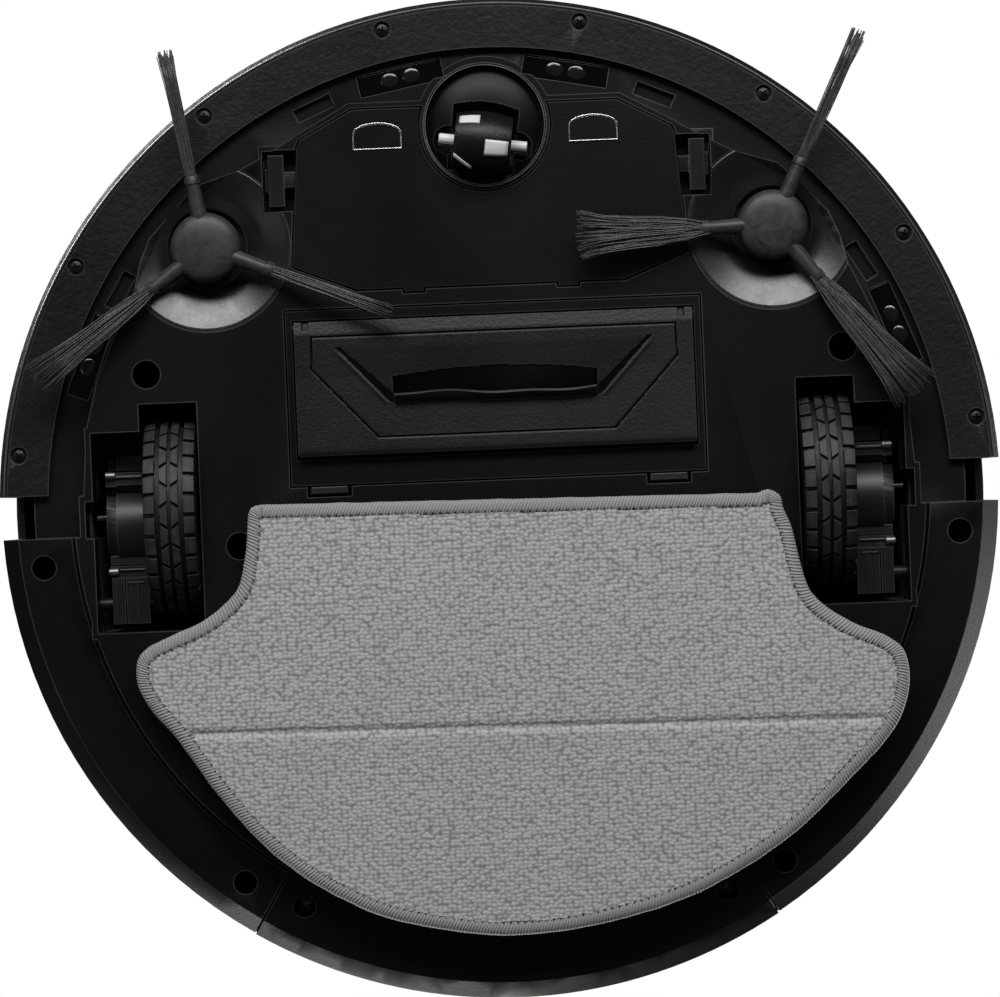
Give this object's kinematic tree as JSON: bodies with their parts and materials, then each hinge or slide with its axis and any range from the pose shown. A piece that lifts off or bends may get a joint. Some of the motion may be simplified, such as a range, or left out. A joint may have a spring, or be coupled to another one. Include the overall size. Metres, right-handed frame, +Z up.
{
  "type": "robot vacuum",
  "caption": "Round robot vacuum with side brushes, a suction mouth, sprung drive wheels, a swivel caster, a rear dust bin and a mop cloth.",
  "frame": {"origin": "centre of the round body's outline, on the floor that it stands on", "axes": "+Z up, -Y towards the sprung bumper at the front, +Y towards the dust bin, X along the drive wheels' axles"},
  "size_m": [0.3, 0.3, 0.078],
  "materials": {
    "body_plastic": "fine moulded grain",
    "bumper_plastic": "fine moulded grain",
    "sled_plastic": "fine moulded grain",
    "deck_gloss": "polished",
    "smoked_window": "polished, dark",
    "clear_window": "clear moulded plastic",
    "satin_plastic": "satin",
    "drive_plastic": "satin",
    "hub_rubber": "soft, slightly see-through",
    "bristle": "nylon filament",
    "tread_rubber": "moulded rubber",
    "soft_rubber": "moulded rubber",
    "white_plastic": "smooth",
    "contact_metal": "polished",
    "steel": "machined",
    "dark_steel": "blackened",
    "wrap": "shrink wrap",
    "board": "solder mask",
    "filter": "pleated",
    "terry": "looped terry"
  },
  "bodies": {
    "base": {"air_duct": "body_plastic", "battery_pack": "wrap", "brush_dish_left": "satin_plastic", "brush_dish_right": "satin_plastic", "brush_motor_left": "body_plastic", "brush_motor_right": "body_plastic", "bumper_switches": "body_plastic", "caster_bezel": "satin_plastic", "charging_contacts": "contact_metal", "chassis_base": "body_plastic", "chassis_screws": "steel", "cliff_windows": "clear_window", "display_window": "smoked_window", "main_board": "board", "pivot_pins": "steel", "suction_fan": "body_plastic", "suspension_spring_left": "steel", "suspension_spring_right": "steel", "top_deck_panel": "deck_gloss", "top_shell": "body_plastic"},
    "bumper": {"bumper": "bumper_plastic", "bumper_ir_window": "smoked_window", "bumper_screws": "dark_steel"},
    "caster": {"caster_housing": "body_plastic"},
    "caster_wheel": {"caster_core": "white_plastic", "caster_tyre": "soft_rubber"},
    "battery_cover": {"battery_cover": "body_plastic"},
    "battery_latch_left": {"battery_latch_left": "sled_plastic"},
    "battery_latch_right": {"battery_latch_right": "sled_plastic"},
    "suction_frame": {"suction_frame": "body_plastic"},
    "suction_head": {"suction_head": "sled_plastic", "suction_lip": "soft_rubber"},
    "dust_bin": {"dust_bin": "body_plastic", "bin_lid": "body_plastic", "bin_filter": "filter", "bin_screws": "steel"},
    "bin_release_button": {"bin_release_button": "satin_plastic"},
    "mop": {"mop_plate": "body_plastic", "mop_cloth": "terry"},
    "start_button": {"start_button": "deck_gloss"},
    "power_switch": {"power_switch": "body_plastic"},
    "drive_left": {"gearbox_left": "drive_plastic", "drive_motor_left": "steel", "gearbox_screws_left": "steel"},
    "wheel_left": {"wheel_hub_left": "drive_plastic", "tyre_left": "tread_rubber", "wheel_axle_left": "steel"},
    "brush_left": {"brush_hub_left": "hub_rubber", "brush_bristles_left": "bristle"},
    "drive_right": {"gearbox_right": "drive_plastic", "drive_motor_right": "steel", "gearbox_screws_right": "steel"},
    "wheel_right": {"wheel_hub_right": "drive_plastic", "tyre_right": "tread_rubber", "wheel_axle_right": "steel"},
    "brush_right": {"brush_hub_right": "hub_rubber", "brush_bristles_right": "bristle"}
  },
  "joints": [
    {"name": "bumper_press", "type": "slide", "parent": "base", "child": "bumper", "axis": [0, 1, 0], "range_m": [0, 0.0028], "stiffness_N_per_m": 900, "springref_m": -0.002},
    {"name": "caster_swivel", "type": "hinge", "parent": "base", "child": "caster", "pos_m": [0, -0.1114, 0.03], "axis": [0, 0, 1], "continuous": true},
    {"name": "caster_roll", "type": "hinge", "parent": "caster", "child": "caster_wheel", "pos_m": [-0.00076, -0.10595, 0.00925], "axis": [0.9903, 0.1392, 0], "continuous": true},
    {"name": "battery_cover_open", "type": "hinge", "parent": "base", "child": "battery_cover", "pos_m": [0, -0.0638, 0.012], "axis": [1, 0, 0], "range_deg": [0, 80], "deforming": ["brush_bristles_left", "brush_bristles_right"]},
    {"name": "latch_left_press", "type": "slide", "parent": "battery_cover", "child": "battery_latch_left", "axis": [1, 0, 0], "range_m": [0, 0.002], "stiffness_N_per_m": 400, "springref_m": -0.002},
    {"name": "latch_right_press", "type": "slide", "parent": "battery_cover", "child": "battery_latch_right", "axis": [-1, 0, 0], "range_m": [0, 0.002], "stiffness_N_per_m": 400, "springref_m": -0.002},
    {"name": "suction_frame_open", "type": "hinge", "parent": "base", "child": "suction_frame", "pos_m": [0, -0.0582, 0.012], "axis": [-1, 0, 0], "range_deg": [0, 85]},
    {"name": "suction_head_float", "type": "hinge", "parent": "suction_frame", "child": "suction_head", "pos_m": [0, -0.053, 0.0134], "axis": [1, 0, 0], "range_deg": [0, 5]},
    {"name": "bin_pull", "type": "slide", "parent": "base", "child": "dust_bin", "axis": [0, 1, 0], "range_m": [0, 0.13]},
    {"name": "bin_button_press", "type": "slide", "parent": "dust_bin", "child": "bin_release_button", "axis": [0, -1, 0], "range_m": [0, 0.002], "stiffness_N_per_m": 500, "springref_m": -0.002},
    {"name": "mop_pull_off", "type": "slide", "parent": "base", "child": "mop", "axis": [0, 0, -1], "range_m": [0, 0.03]},
    {"name": "start_button_press", "type": "slide", "parent": "base", "child": "start_button", "axis": [0, 0, -1], "range_m": [0, 0.0008], "stiffness_N_per_m": 1500, "springref_m": -0.0005},
    {"name": "power_switch_rock", "type": "hinge", "parent": "base", "child": "power_switch", "pos_m": [-0.14657, 0.02321, 0.04], "axis": [0, 0, 1], "range_deg": [-5, 5]},
    {"name": "suspension_left", "type": "hinge", "parent": "base", "child": "drive_left", "pos_m": [-0.113, 0.027, 0.024], "axis": [1, 0, 0], "range_deg": [-6, 25], "stiffness_Nm_per_rad": 0.2, "springref_deg": 42.4, "deforming": ["suspension_spring_left"]},
    {"name": "wheel_left_spin", "type": "hinge", "parent": "drive_left", "child": "wheel_left", "pos_m": [-0.0978, 0.001, 0.03], "axis": [1, 0, 0], "continuous": true},
    {"name": "brush_left_spin", "type": "hinge", "parent": "base", "child": "brush_left", "pos_m": [-0.0845, -0.0782, 0.012], "axis": [0, 0, 1], "continuous": true},
    {"name": "suspension_right", "type": "hinge", "parent": "base", "child": "drive_right", "pos_m": [0.113, 0.027, 0.024], "axis": [1, 0, 0], "range_deg": [-6, 25], "stiffness_Nm_per_rad": 0.2, "springref_deg": 42.4, "deforming": ["suspension_spring_right"]},
    {"name": "wheel_right_spin", "type": "hinge", "parent": "drive_right", "child": "wheel_right", "pos_m": [0.0978, 0.001, 0.03], "axis": [1, 0, 0], "continuous": true},
    {"name": "brush_right_spin", "type": "hinge", "parent": "base", "child": "brush_right", "pos_m": [0.0845, -0.0782, 0.012], "axis": [0, 0, 1], "continuous": true}
  ]
}
